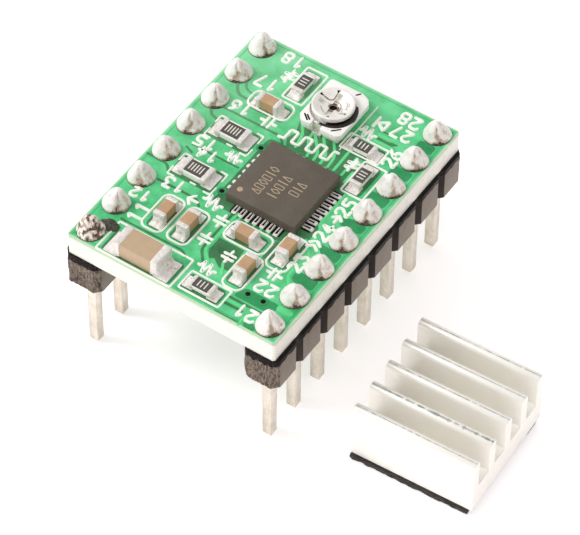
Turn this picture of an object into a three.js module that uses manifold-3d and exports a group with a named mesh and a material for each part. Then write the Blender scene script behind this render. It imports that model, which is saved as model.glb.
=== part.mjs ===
// A stepper driver module: a small two-row carrier board with its driver chip, current trimmer,
// chip capacitors and resistors, two pin headers, and the finned heatsink that sticks on the chip.
// Millimetres, +Z up. The origin is the middle of the board's underside. X runs across the two pin
// rows, Y along them. The heatsink lies beside the board, on the surface the pin tips stand on.

import * as THREE from "three";
import { mergeVertices } from "three/addons/utils/BufferGeometryUtils.js";
import Module from "manifold-3d";

const kernel = await Module();
kernel.setup();

// ---------------------------------------------------------------- driving dimensions

const PITCH = 2.54;
const PINS_PER_ROW = 8;
const ROW_X = 6.35;
const FIRST_PIN_Y = (-PITCH * (PINS_PER_ROW - 1)) / 2;

const BOARD = { width: 14.7, length: 19.8, thick: 1.6, hole: 0.5, via: 0.16, clearWidth: 10 };
const TOP = BOARD.thick;
const VIAS = [
  [-1.76, 2.05],
  [-1.74, -2.06],
  [1.6, -5.93],
  [4.0, -7.67],
  [5.05, -7.64],
];

const HEADER = { half: 1.25, bevel: 0.37, high: 2.5, endTrim: 0.16 };
const PIN = { half: 0.32, tip: 0.27, tipHigh: 0.1, bottom: -8.4, top: 2.5, headHalf: 0.2 };
const FLOOR = PIN.bottom;

const CHIP = { x: 1.29, y: -0.07, side: 4.9, high: 0.75, pad: 3.1, padHigh: 0.2, die: 2.3, dieHigh: 0.25 };

const TRIMMER = { x: 0.575, y: 6.51, width: 3.05, length: 3.82, axisX: 0.5, axisY: 6.42 };

const CAPS = [
  { name: "capacitor_input_bulk", x: -2.64, y: -8.85, length: 3.2, width: 1.6, high: 1.15, cap: 0.5 },
  { name: "capacitor_1", x: -3.4, y: -5.42, turned: true },
  { name: "capacitor_2", x: -1.75, y: -5.42, turned: true },
  { name: "capacitor_3", x: 1.5, y: -4.3 },
  { name: "capacitor_4", x: -3.15, y: 5.0 },
  { name: "capacitor_5", x: 2.9, y: -6.3, turned: true },
  { name: "capacitor_6", x: 4.12, y: -3.75, turned: true },
];

const RESISTORS = [
  { name: "resistor_sense_1", x: -3.75, y: -1.78, length: 2.0, width: 1.25, high: 0.5, cap: 0.4 },
  { name: "resistor_sense_2", x: -3.7, y: 1.94, length: 2.0, width: 1.25, high: 0.5, cap: 0.4 },
  { name: "resistor_1", x: 1.65, y: -8.85 },
  { name: "resistor_2", x: 4.6, y: 3.33, turned: true },
  { name: "resistor_3", x: 3.4, y: 5.33 },
  { name: "resistor_4", x: -2.45, y: 7.6, turned: true },
];

const SINK = {
  x: 15.35,
  y: -3.55,
  turn: 2.5,
  side: 8.2,
  high: 4.2,
  base: 1.8,
  fins: 5,
  fin: 0.68,
  pad: 0.6,
  padSide: 8.0,
};

// ---------------------------------------------------------------- materials

const material = (color, roughness, metalness = 0) =>
  new THREE.MeshStandardMaterial({ color, roughness, metalness, flatShading: true });

const MASK = material(0x3fb871, 0.35);
const HEADER_PLASTIC = material(0x4a4440, 0.5);
const TIN = material(0xe8e0d0, 0.3, 1);
const SOLDER = material(0xd9d6d2, 0.22, 1);
const MOULD = material(0x6b625c, 0.6);
const COPPER = material(0xb87a4b, 0.35, 1);
const SILICON = material(0x4c4f57, 0.25);
const CERAMIC_TAN = material(0xc9a27a, 0.55);
const RESISTOR_BODY = material(0x5a5650, 0.5);
const ALUMINA = material(0xf1ece6, 0.5);
const CARBON = material(0x18140f, 0.55);
const STEEL = material(0xdedad4, 0.25, 1);
const ALUMINIUM = material(0xe4e0dc, 0.35, 1);
const FOAM = material(0x2a2623, 0.85);

// ---------------------------------------------------------------- solids and meshes

function solid(geometry) {
  const flat = geometry.index ? geometry.toNonIndexed() : geometry;
  const bare = new THREE.BufferGeometry().setAttribute("position", flat.getAttribute("position"));
  const merged = mergeVertices(bare, 1e-4);
  const vertProperties = merged.getAttribute("position").array;
  const triVerts = new Uint32Array(merged.index.array);
  return new kernel.Manifold(new kernel.Mesh({ numProp: 3, vertProperties, triVerts }));
}

function geometry(body) {
  const mesh = body.getMesh();
  const g = new THREE.BufferGeometry();
  g.setAttribute("position", new THREE.BufferAttribute(new Float32Array(mesh.vertProperties), 3));
  g.setIndex(new THREE.BufferAttribute(new Uint32Array(mesh.triVerts), 1));
  const open = g.toNonIndexed();
  open.computeVertexNormals();
  return open;
}

const join = (...bodies) => bodies.reduce((a, b) => a.add(b));
const cut = (body, ...tools) => tools.reduce((a, b) => a.subtract(b), body);

// A box from its plan centre, plan size and lower and upper height.
function block(x, y, width, length, z0, z1) {
  const g = new THREE.BoxGeometry(width, length, z1 - z0);
  g.translate(x, y, (z0 + z1) / 2);
  return solid(g);
}

// A turned shape standing on the Z axis, from [radius, height] pairs that start and end on it.
function turned(profile, x = 0, y = 0, sides = 24, turn = 0) {
  const points = profile.map(([r, z]) => new THREE.Vector2(r, z));
  const g = new THREE.LatheGeometry(points, sides);
  g.rotateX(Math.PI / 2);
  g.rotateZ(turn);
  g.translate(x, y, 0);
  return solid(g);
}

const disc = (x, y, radius, z0, z1, sides = 24) =>
  turned([[0, z0], [radius, z0], [radius, z1], [0, z1]], x, y, sides);

// A square bar on the Z axis, from [half width, height] pairs.
function squareBar(sections, x, y) {
  const first = sections[0][1];
  const last = sections[sections.length - 1][1];
  const walls = sections.map(([half, z]) => [half * Math.SQRT2, z]);
  return turned([[0, first], ...walls, [0, last]], x, y, 4, Math.PI / 4);
}

// A flat outline, given as [x, y] pairs, raised from z0 to z1, with round holes [x, y, radius].
function plate(outline, z0, z1, holes = [], curveSegments = 8) {
  const shape = new THREE.Shape(outline.map(([x, y]) => new THREE.Vector2(x, y)));
  for (const [x, y, radius] of holes) {
    const hole = new THREE.Path();
    hole.absarc(x, y, radius, 0, 2 * Math.PI, true);
    shape.holes.push(hole);
  }
  const g = new THREE.ExtrudeGeometry(shape, { depth: z1 - z0, bevelEnabled: false, curveSegments });
  g.translate(0, 0, z0);
  return solid(g);
}

// A rectangle with its four corners cut off.
function clippedRectangle(x, y, width, length, clip) {
  const [w, l] = [width / 2, length / 2];
  return [
    [x - w + clip, y - l],
    [x + w - clip, y - l],
    [x + w, y - l + clip],
    [x + w, y + l - clip],
    [x + w - clip, y + l],
    [x - w + clip, y + l],
    [x - w, y + l - clip],
    [x - w, y - l + clip],
  ];
}

const module_ = new THREE.Group();
module_.name = "stepper_driver_module";

function add(name, body, look, parent = module_) {
  const mesh = new THREE.Mesh(geometry(body), look);
  mesh.name = name;
  parent.add(mesh);
  return mesh;
}

// ---------------------------------------------------------------- board and pins

const pinPlaces = [];
for (const [side, x] of [["left", -ROW_X], ["right", ROW_X]])
  for (let i = 0; i < PINS_PER_ROW; i += 1)
    pinPlaces.push({ side, number: i + 1, x, y: FIRST_PIN_Y + i * PITCH });

// The strip between the two headers keeps its own faces, because a flat plate can rest on it there.
function circuitBoard() {
  const outline = clippedRectangle(0, 0, BOARD.width, BOARD.length, 0.12);
  const holes = pinPlaces.map(({ x, y }) => [x, y, BOARD.hole]);
  const vias = VIAS.map(([x, y]) => [x, y, BOARD.via]);
  const board = plate(outline, 0, TOP, [...holes, ...vias], 6);
  const between = block(0, 0, BOARD.clearWidth, 2 * BOARD.length, -TOP, 2 * TOP);
  const middle = board.intersect(between).asOriginal();
  const sides = board.subtract(between).asOriginal();
  return join(sides, middle);
}

// Eight bevelled blocks in a row, with a notch between each two, as the strip is moulded.
function headerOutline(x) {
  const ends = [-(PITCH * PINS_PER_ROW) / 2, (PITCH * PINS_PER_ROW) / 2];
  const right = [];
  for (let i = 0; i < PINS_PER_ROW; i += 1) {
    const low = i === 0 ? ends[0] + HEADER.endTrim : ends[0] + i * PITCH;
    const high = i === PINS_PER_ROW - 1 ? ends[1] - HEADER.endTrim : ends[0] + (i + 1) * PITCH;
    const notch = HEADER.half - HEADER.bevel;
    right.push([x + notch, low], [x + HEADER.half, low + HEADER.bevel]);
    right.push([x + HEADER.half, high - HEADER.bevel]);
    if (i === PINS_PER_ROW - 1) right.push([x + notch, high]);
  }
  const left = right.map(([px, py]) => [2 * x - px, py]).reverse();
  return [...right, ...left];
}

function headerInsulator(side, x) {
  const strip = plate(headerOutline(x), -HEADER.high, 0);
  const own = pinPlaces.filter((pin) => pin.side === side);
  const bores = own.map((pin) => block(pin.x, pin.y, 2 * PIN.half, 2 * PIN.half, -5, 1));
  return cut(strip, ...bores);
}

function pinBar(x, y) {
  return squareBar(
    [
      [PIN.tip, PIN.bottom],
      [PIN.half, PIN.bottom + PIN.tipHigh],
      [PIN.half, PIN.top - 0.15],
      [PIN.headHalf, PIN.top],
    ],
    x,
    y,
  );
}

// The cone of solder on the board's top land, and the plug of it that runs down the plated hole.
function solderJoint(x, y) {
  const profile = [
    [0, 0.08],
    [0.46, 0.08],
    [0.46, TOP],
    [0.87, TOP],
    [0.86, TOP + 0.09],
    [0.74, TOP + 0.32],
    [0.56, TOP + 0.64],
    [0.4, TOP + 0.95],
    [0.22, TOP + 1.15],
    [0, TOP + 1.22],
  ];
  return cut(turned(profile, x, y, 16), pinBar(x, y));
}

// ---------------------------------------------------------------- driver chip

function chipPieces() {
  const { x, y, side, high, pad, padHigh, die, dieHigh } = CHIP;
  const mould = block(x, y, side, side, TOP, TOP + high);
  const padRoom = block(x, y, pad, pad, TOP - 1, TOP + padHigh);
  const dieRoom = block(x, y, die, die, TOP + padHigh - 0.1, TOP + padHigh + dieHigh);
  return {
    driver_chip_mould: [cut(mould, padRoom, dieRoom), MOULD],
    driver_chip_thermal_pad: [block(x, y, pad, pad, TOP, TOP + padHigh), COPPER],
    driver_chip_die: [block(x, y, die, die, TOP + padHigh, TOP + padHigh + dieHigh), SILICON],
  };
}

// ---------------------------------------------------------------- chip capacitors and resistors

// A ceramic block between two end caps that stand a little proud of it.
function chipPart({ x, y, length = 1.6, width = 0.8, high = 0.8, cap = 0.34, turned: across }) {
  const proud = 0.03;
  const at = (along, size, wide, low, top) =>
    across
      ? block(x, y + along, wide, size, TOP + low, TOP + top)
      : block(x + along, y, size, wide, TOP + low, TOP + top);
  const end = (length - cap) / 2;
  const middle = at(0, length - cap, width - 2 * proud, proud, high - proud);
  return join(middle, at(-end, cap, width, 0, high), at(end, cap, width, 0, high));
}

// ---------------------------------------------------------------- trimmer

const TRIM = {
  footTop: TOP + 0.55,
  plateTop: TOP + 0.95,
  wellFloor: TOP + 0.6,
  well: 1.42,
  post: 0.2,
  bore: 0.26,
  slotFloor: TOP + 0.98,
};
const STRAP = { x: 0.38, width: 0.62, thick: 0.18, lip: 0.16 };
const NOTCH = { half: 0.35, back: 5.1 };

// The top plate's outline: every corner is cut, the back right one furthest.
function trimmerPlateOutline() {
  const { x, y, width, length } = TRIMMER;
  const [x0, x1, y0, y1] = [x - width / 2, x + width / 2, y - length / 2, y + length / 2];
  return [
    [x0 + 0.34, y0],
    [x1 - 0.25, y0],
    [x1, y0 + 0.25],
    [x1, y1 - 0.55],
    [x1 - 0.25, y1 - 0.2],
    [x1 - 0.75, y1],
    [x0 + 0.15, y1],
    [x0, y1 - 0.15],
    [x0, y0 + 0.4],
  ];
}

function trimmerBase() {
  const { x, y, axisX, axisY } = TRIMMER;
  const foot = block(x, y, 2.5, 3.2, TOP, TRIM.footTop);
  const top = plate(trimmerPlateOutline(), TRIM.footTop, TRIM.plateTop);
  const well = disc(axisX, axisY, TRIM.well, TRIM.wellFloor, TOP + 3, 36);
  const postHole = disc(axisX, axisY, 0.26, TOP - 1, TOP + 3);
  const strapRoom = block(STRAP.x, axisY - 1.2, STRAP.width + 0.04, 3.0, TOP - 1, TOP + STRAP.thick + 0.02);
  const notch = block(STRAP.x, NOTCH.back - 0.5, 2 * NOTCH.half, 1, TOP - 1, TOP + 3);
  return cut(join(foot, top), well, postHole, strapRoom, notch);
}

// The strap that carries the wiper's current: down the notch at the front, under the base, and up
// as the post the rotor turns on.
function wiperTerminal() {
  const { axisX, axisY } = TRIMMER;
  const { x, width, thick, lip } = STRAP;
  const [front, back] = [NOTCH.back - 0.38, axisY + 0.25];
  const strap = block(x, (front + back) / 2, width, back - front, TOP, TOP + thick);
  const upright = block(x, NOTCH.back - 0.02 - lip / 2, width, lip, TOP, TOP + 0.93);
  return join(strap, upright, disc(axisX, axisY, TRIM.post, TOP, TOP + 0.78));
}

// The black resistive track: most of a ring on the floor of the well, open beside the wiper strap.
function resistiveTrack() {
  const { axisX, axisY } = TRIMMER;
  const [inner, outer] = [0.7, 1.36];
  const [from, to] = [THREE.MathUtils.degToRad(278), THREE.MathUtils.degToRad(558)];
  const shape = new THREE.Shape();
  shape.absarc(axisX, axisY, outer, from, to, false);
  shape.absarc(axisX, axisY, inner, to, from, true);
  const depth = 0.05;
  const g = new THREE.ExtrudeGeometry(shape, { depth, bevelEnabled: false, curveSegments: 18 });
  g.translate(0, 0, TRIM.wellFloor);
  return solid(g);
}

function endTerminal(sign) {
  const { x, y } = TRIMMER;
  const back = y + 1.6;
  const place = x + sign * 0.9;
  const lip = block(place, back + 0.1, 0.7, 0.2, TOP, TRIM.footTop);
  const toe = block(place, back + 0.14, 0.7, 0.28, TOP, TOP + 0.12);
  return join(lip, toe);
}

// The dished rotor: rim, bowl, cross slot, through bore and the wiper bump that rides the track.
function trimmerRotor() {
  const { axisX, axisY } = TRIMMER;
  const dish = [
    [0, TOP + 0.7],
    [0.5, TOP + 0.7],
    [0.58, TOP + 0.88],
    [1.15, TOP + 0.94],
    [1.33, TOP + 1.14],
    [1.33, TOP + 1.4],
    [1.22, TOP + 1.42],
    [0.95, TOP + 1.3],
    [0.62, TOP + 1.1],
    [0, TOP + 1.06],
  ];
  const body = turned(dish, axisX, axisY, 36);
  const bump = disc(axisX + 0.54, axisY + 0.86, 0.14, TOP + 0.67, TOP + 1.0, 10);
  const slots = [4, 94].map((angle) => {
    const g = new THREE.BoxGeometry(1.9, 0.32, 0.6);
    g.rotateZ(THREE.MathUtils.degToRad(angle));
    g.translate(axisX, axisY, TRIM.slotFloor + 0.3);
    return solid(g);
  });
  const bore = disc(axisX, axisY, TRIM.bore, TOP, TOP + 3);
  return cut(join(body, bump), ...slots, bore);
}

// ---------------------------------------------------------------- heatsink

// The extruded comb: a thick base with five round-topped fins, seen along the fins.
function heatsinkBody() {
  const { side, high, base, fins, fin, pad } = SINK;
  const half = side / 2;
  const step = (side - fin) / (fins - 1);
  const crown = [[0, 0.3], [0.05, 0.13], [0.15, 0.03], [0.24, 0]];
  const outline = [[-half, pad], [half, pad]];
  for (let i = fins - 1; i >= 0; i -= 1) {
    const low = -half + i * step;
    if (i < fins - 1) outline.push([low + fin, pad + base]);
    for (const [inward, drop] of crown) outline.push([low + fin - inward, pad + high - drop]);
    for (const [inward, drop] of crown.toReversed()) outline.push([low + inward, pad + high - drop]);
    if (i > 0) outline.push([low, pad + base]);
  }
  const shape = new THREE.Shape(outline.map(([v, z]) => new THREE.Vector2(v, z)));
  const g = new THREE.ExtrudeGeometry(shape, { depth: side, bevelEnabled: false });
  g.translate(0, 0, -half);
  g.rotateX(Math.PI / 2);
  g.rotateZ(Math.PI / 2);
  return solid(g);
}

// ---------------------------------------------------------------- assembly

add("circuit_board", circuitBoard(), MASK);
add("header_insulator_left", headerInsulator("left", -ROW_X), HEADER_PLASTIC);
add("header_insulator_right", headerInsulator("right", ROW_X), HEADER_PLASTIC);
for (const { side, number, x, y } of pinPlaces) {
  add(`pin_${side}_${number}`, pinBar(x, y), TIN);
  add(`solder_${side}_${number}`, solderJoint(x, y), SOLDER);
}

for (const [name, [body, look]] of Object.entries(chipPieces())) add(name, body, look);

for (const part of CAPS) add(part.name, chipPart(part), CERAMIC_TAN);
for (const part of RESISTORS) {
  const flatPart = { high: 0.45, cap: 0.3, ...part };
  add(part.name, chipPart(flatPart), RESISTOR_BODY);
}

add("trimmer_base", trimmerBase(), ALUMINA);
add("trimmer_wiper_terminal", wiperTerminal(), STEEL);
add("trimmer_end_terminal_left", endTerminal(-1), STEEL);
add("trimmer_end_terminal_right", endTerminal(1), STEEL);
add("trimmer_track", resistiveTrack(), CARBON);
add("trimmer_rotor", trimmerRotor(), STEEL);

const sink = new THREE.Group();
sink.name = "heatsink_group";
sink.position.set(SINK.x, SINK.y, FLOOR);
sink.rotation.z = THREE.MathUtils.degToRad(SINK.turn);
module_.add(sink);
add("heatsink", heatsinkBody(), ALUMINIUM, sink);
add("heatsink_pad", block(0, 0, SINK.padSide, SINK.padSide, 0, SINK.pad), FOAM, sink);

export default module_;
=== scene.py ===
"""Looks of a stepper driver module: carrier board, driver chip, trimmer, pin headers and heatsink.

Shapes are written in millimetres in the part's own frame and turned into metres when a piece is made.
"""

import math
import random

import bmesh
import bpy
from mathutils import Matrix, Vector, noise


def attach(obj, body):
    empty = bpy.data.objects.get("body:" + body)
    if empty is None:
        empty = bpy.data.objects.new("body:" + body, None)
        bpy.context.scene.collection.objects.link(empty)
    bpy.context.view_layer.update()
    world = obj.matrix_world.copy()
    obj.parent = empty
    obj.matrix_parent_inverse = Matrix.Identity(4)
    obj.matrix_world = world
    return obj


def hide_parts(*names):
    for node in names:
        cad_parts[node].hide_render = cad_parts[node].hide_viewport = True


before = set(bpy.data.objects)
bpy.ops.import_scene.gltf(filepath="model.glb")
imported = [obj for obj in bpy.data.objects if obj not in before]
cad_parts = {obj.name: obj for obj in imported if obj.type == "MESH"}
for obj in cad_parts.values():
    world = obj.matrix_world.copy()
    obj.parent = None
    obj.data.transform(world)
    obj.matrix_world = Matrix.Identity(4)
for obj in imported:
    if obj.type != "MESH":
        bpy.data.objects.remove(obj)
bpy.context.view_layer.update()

MM = 0.001
TOP = 1.6
FLOOR = -8.4
BOARD = "board_assembly"
ROW_X = 6.35
PITCH = 2.54
PIN_Y = [(i - 3.5) * PITCH for i in range(8)]
BOARD_HALF_X, BOARD_HALF_Y = 7.35, 9.9
CHIP = {"x": 1.29, "y": -0.07, "half": 2.45, "top": 2.35}
TRIM = {"x": 0.575, "axis_x": 0.5, "axis_y": 6.42, "plate": TOP + 0.95}
SINK = {"x": 15.35, "y": -3.55, "turn": 2.5, "half": 4.1, "top": 4.8, "fin": 0.68, "fins": 5}
SILK_WIDTH = 0.23
KEY_WATTS = 1.6
FILL_WATTS = 0.2
FLOOR_GLOW = 0.5
NOISE_SEED = 7

# Left unseeded, noise_vector takes its offset from the clock and the ends' unevenness differs each run.
noise.seed_set(NOISE_SEED)


# ------------------------------------------------------------------ shapes


def placed(x, y, z=0.0, turn=0.0):
    """A move to a place in millimetres after a turn about Z in degrees."""
    return Matrix.Translation((x, y, z)) @ Matrix.Rotation(math.radians(turn), 4, "Z")


def polar(radius, angle):
    """A point at a distance and an angle in radians."""
    return radius * math.cos(angle), radius * math.sin(angle)


def circle(count):
    """Evenly spaced angles all the way round."""
    return [2 * math.pi * i / count for i in range(count)]


class Build:
    """Gathers closed shapes for one piece. Points are in millimetres, turned about Z and then moved."""

    def __init__(self, x=0.0, y=0.0, z=0.0, turn=0.0):
        self.bm = bmesh.new()
        self.place = placed(x, y, z, turn)

    def loft(self, rings, look=0, closed=False):
        """Joins rings of points and closes both ends, or joins the last ring to the first."""
        rows = [[self.bm.verts.new(self.place @ Vector(p)) for p in ring] for ring in rings]
        pairs = list(zip(rows, rows[1:])) + ([(rows[-1], rows[0])] if closed else [])
        for a, b in pairs:
            for i in range(len(a)):
                j = (i + 1) % len(a)
                self.bm.faces.new((a[i], a[j], b[j], b[i])).material_index = look
        if not closed:
            for cap in (rows[0][::-1], rows[-1]):
                self.bm.faces.new(cap).material_index = look

    def prism(self, outline, z0, z1, look=0, edge=0.0):
        """A flat outline raised from z0 to z1, drawn in by edge at the top."""
        low = [(x, y, z0) for x, y in outline]
        if not edge:
            self.loft([low, [(x, y, z1) for x, y in outline]], look)
            return
        top = [(x, y, z1) for x, y in shrunk(outline, edge)]
        self.loft([low, [(x, y, z1 - edge) for x, y in outline], top], look)

    def turned(self, profile, sides=32, look=0, x=0.0, y=0.0, closed=False):
        """A turned shape about a vertical axis, from radius and height pairs. Closed makes a ring."""
        rings = [[(x + r * math.cos(a), y + r * math.sin(a), z) for a in circle(sides)] for r, z in profile]
        self.loft(rings, look, closed)

    def ribbon(self, path, width, z0, z1, look=0, closed=False):
        """A raised line of constant width with sloping edges and round ends."""
        stations = offsets(path, closed)
        edge = min(0.25 * width, z1 - z0)
        half = width / 2
        rings = []
        if not closed:
            stations = rounded_ends(stations, half)
        for x, y, nx, ny, share in stations:
            w, t = half * share, max(half * share - edge, half * share * 0.3)
            corners = ((-w, z0), (w, z0), (t, z1), (-t, z1))
            rings.append([(x + nx * side, y + ny * side, z) for side, z in corners])
        self.loft(rings, look, closed)


def offsets(path, closed):
    """Each point of a path with its mitred sideways vector and its share of the width."""
    count = len(path)
    found = []
    for i, (x, y) in enumerate(path):
        before = path[i - 1] if i or closed else None
        after = path[(i + 1) % count] if i < count - 1 or closed else None
        ways = []
        for a, b in ((before, (x, y)), ((x, y), after)):
            if a is not None and b is not None:
                ways.append(Vector((b[0] - a[0], b[1] - a[1])).normalized())
        way = sum(ways, Vector((0, 0))).normalized()
        reach = 1 / max(0.45, way.dot(ways[0]))
        found.append((x, y, way.y * reach, -way.x * reach, 1.0))
    return found


def rounded_ends(stations, half):
    """Adds narrowing stations past both ends of a line."""
    arc = [math.radians(a) for a in (28, 55, 78)]
    first, last = stations[0], stations[-1]
    head, tail = [], []
    for a in arc:
        reach, share = half * math.sin(a), math.cos(a)
        x, y, nx, ny, _ = first
        head.insert(0, (x + ny * reach, y - nx * reach, nx, ny, share))
        x, y, nx, ny, _ = last
        tail.append((x - ny * reach, y + nx * reach, nx, ny, share))
    return head + stations + tail


def shrunk(outline, by):
    """An outline drawn in by a small distance on every side."""
    area = sum(a[0] * b[1] - b[0] * a[1] for a, b in zip(outline, outline[1:] + outline[:1]))
    sign = -1 if area > 0 else 1
    return [(x + sign * nx * by, y + sign * ny * by) for x, y, nx, ny, _ in offsets(outline, True)]


def rectangle(x0, x1, y0, y1, radius=0.0, steps=4):
    """A rectangle's outline with rounded corners, turning left."""
    corners = [(x1, y0, -90), (x1, y1, 0), (x0, y1, 90), (x0, y0, 180)]
    if not radius:
        return [(x, y) for x, y, _ in corners]
    points = []
    for x, y, start in corners:
        cx = x - radius if x == x1 else x + radius
        cy = y - radius if y == y1 else y + radius
        for i in range(steps + 1):
            a = math.radians(start + 90 * i / steps)
            points.append((cx + radius * math.cos(a), cy + radius * math.sin(a)))
    return points


def eased(path, radius, closed=False, steps=3):
    """A path with its corners rounded off."""
    count = len(path)
    points = []
    for i, p in enumerate(path):
        if not closed and i in (0, count - 1):
            points.append(p)
            continue
        a, b, c = Vector(path[i - 1]), Vector(p), Vector(path[(i + 1) % count])
        reach = min(radius, (a - b).length * 0.45, (c - b).length * 0.45)
        start, end = b + (a - b).normalized() * reach, b + (c - b).normalized() * reach
        for k in range(steps + 1):
            t = k / steps
            q = start * (1 - t) ** 2 + b * 2 * t * (1 - t) + end * t * t
            points.append((q.x, q.y))
    return points


def shake(points, amount, size, seed):
    """Moves points by smooth noise, so that an edge is not ruler straight."""
    moved = []
    for p in points:
        v = Vector(p)
        moved.append(tuple(v + noise.noise_vector(v / size + Vector((seed, seed * 2, 0))) * amount))
    return moved


# ------------------------------------------------------------------ pieces


def piece(name, shape, looks, body=BOARD, replaces=(), smooth=35):
    """Makes an object from a Build or a bmesh in millimetres and puts it on its body. Edges sharper than
    smooth, in degrees, stay sharp."""
    bm = shape.bm if isinstance(shape, Build) else shape
    bmesh.ops.recalc_face_normals(bm, faces=bm.faces)
    bmesh.ops.scale(bm, vec=(MM, MM, MM), verts=bm.verts)
    mesh = bpy.data.meshes.new(name)
    bm.to_mesh(mesh)
    bm.free()
    for look in looks:
        mesh.materials.append(look)
    mesh.shade_smooth()
    mesh.set_sharp_from_angle(angle=math.radians(smooth))
    thing = bpy.data.objects.new(name, mesh)
    bpy.context.scene.collection.objects.link(thing)
    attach(thing, body)
    if replaces:
        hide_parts(*replaces)
    return thing


def cad_shape(node):
    """A welded copy of a CAD node's mesh, in millimetres, with its flat faces whole."""
    bm = bmesh.new()
    bm.from_mesh(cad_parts[node].data)
    bmesh.ops.scale(bm, vec=(1 / MM,) * 3, verts=bm.verts)
    bmesh.ops.remove_doubles(bm, verts=bm.verts, dist=1e-4)
    nearly_flat = math.radians(2)
    bmesh.ops.dissolve_limit(bm, angle_limit=nearly_flat, verts=bm.verts, edges=bm.edges)
    for face in bm.faces:
        face.material_index = 0
    return bm


def soften(bm, radius, segments=2, angle=30):
    """Rounds every edge of a shape that is sharper than the angle."""
    sharp = [e for e in bm.edges if len(e.link_faces) == 2 and e.calc_face_angle() > math.radians(angle)]
    bmesh.ops.bevel(
        bm, geom=sharp, offset=radius, segments=segments, affect="EDGES", profile=0.5, clamp_overlap=True
    )
    return bm


def softened(node, radius, look, body=BOARD, segments=2, smooth=35):
    """A CAD node's own shape with its edges rounded, in place of the node."""
    shape = soften(cad_shape(node), radius, segments)
    return piece(node + "_finished", shape, [look], body, [node], smooth)


# ------------------------------------------------------------------ materials


def tone(red, green, blue):
    """A colour as seen on a screen, 0 to 255, as linear light."""
    def linear(v):
        v /= 255
        return v / 12.92 if v <= 0.04045 else ((v + 0.055) / 1.055) ** 2.4
    return (linear(red), linear(green), linear(blue), 1.0)


def new_node(tree, kind, inputs=None, **settings):
    """Adds a shader node. An input takes a link, a plain value, or a screen colour of three numbers."""
    node = tree.nodes.new("ShaderNode" + kind)
    for key, value in settings.items():
        setattr(node, key, value)
    for key, value in (inputs or {}).items():
        feed(tree, node.inputs[key], value)
    return node


def feed(tree, socket, value):
    """Links or sets one input."""
    if isinstance(value, bpy.types.NodeSocket):
        tree.links.new(value, socket)
    else:
        screen_colour = isinstance(value, tuple) and len(value) == 3
        socket.default_value = tone(*value) if screen_colour else value


class Look:
    """A Principled material worked out from the place on the object. Sizes are in millimetres."""

    def __init__(self, name, colour, rough, metal=0.0, **fixed):
        self.mat = bpy.data.materials.new(name)
        self.mat.use_nodes = True
        self.tree = self.mat.node_tree
        self.shader = self.tree.nodes["Principled BSDF"]
        self.paint(colour)
        self.set("Roughness", rough)
        self.set("Metallic", metal)
        for socket, value in fixed.items():
            self.set(socket.replace("_", " "), value)
        self.where = self.node("TexCoord")
        self.bumps = None

    def set(self, socket, value):
        feed(self.tree, self.shader.inputs[socket], value)

    def node(self, kind, inputs=None, **settings):
        return new_node(self.tree, kind, inputs, **settings)

    def mapped(self, stretch=(1, 1, 1)):
        """The place on the object in millimetres. A pattern is drawn out where stretch is below one."""
        inputs = {"Scale": [s / MM for s in stretch], "Vector": self.where.outputs["Object"]}
        return self.node("Mapping", inputs).outputs["Vector"]

    def noise(self, size, detail=3.0, rough=0.6, stretch=(1, 1, 1), warp=0.0):
        """Cloudy noise whose blobs are about size millimetres across."""
        inputs = {"Vector": self.mapped(stretch), "Scale": 1 / size, "Detail": detail}
        return self.node("TexNoise", inputs | {"Roughness": rough, "Distortion": warp}).outputs["Fac"]

    def specks(self, size):
        """Distance to the nearest of a scatter of points, size millimetres apart."""
        return self.node("TexVoronoi", {"Vector": self.mapped(), "Scale": 1 / size}).outputs["Distance"]

    def stripes(self, size, axis, warp):
        """Wavy bands across an axis, size millimetres apart."""
        inputs = {"Vector": self.mapped(), "Scale": 0.314 / size, "Distortion": warp}
        inputs |= {"Detail": 2.0, "Detail Scale": 2.0}
        return self.node("TexWave", inputs, bands_direction=axis).outputs["Fac"]

    def range(self, value, low, high, to_low=0.0, to_high=1.0):
        """Turns a value from low to high into one from to_low to to_high, and holds it at the ends."""
        inputs = {"Value": value, "From Min": low, "From Max": high, "To Min": to_low, "To Max": to_high}
        return self.node("MapRange", inputs).outputs["Result"]

    def maths(self, operation, a, b=0.0):
        return self.node("Math", {0: a, 1: b}, operation=operation).outputs["Value"]

    def mix(self, share, a, b):
        return self.node("Mix", {"Factor": share, 6: a, 7: b}, data_type="RGBA").outputs[2]

    def place(self, part="Object", axis="Z"):
        """One axis of the place (in metres) or of the facing direction."""
        return self.node("SeparateXYZ", {"Vector": self.where.outputs[part]}).outputs[axis]

    def from_middle(self, axis, half):
        """How far a point is beyond a half size in millimetres, negative inside, in metres."""
        return self.maths("SUBTRACT", self.maths("ABSOLUTE", self.place("Object", axis)), half * MM)

    def paint(self, colour):
        """Sets the base colour, and remembers it for the layers that go over it."""
        self.base = colour
        self.set("Base Color", colour)

    def layer(self, pattern, low, high, share, colour):
        """Lays a colour over the base where a pattern runs from low to high."""
        self.paint(self.mix(self.range(pattern, low, high, 0.0, share), self.base, colour))

    def gloss(self, pattern, smooth, rough):
        """Varies the roughness with a pattern."""
        self.set("Roughness", self.range(pattern, 0.3, 0.7, smooth, rough))

    def relief(self, height, depth):
        """Adds bumps of a depth in millimetres, on top of those already there."""
        inputs = {"Strength": 1.0, "Distance": depth * MM, "Height": height}
        if self.bumps is not None:
            inputs["Normal"] = self.bumps
        self.bumps = self.node("Bump", inputs).outputs["Normal"]
        self.set("Normal", self.bumps)


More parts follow.
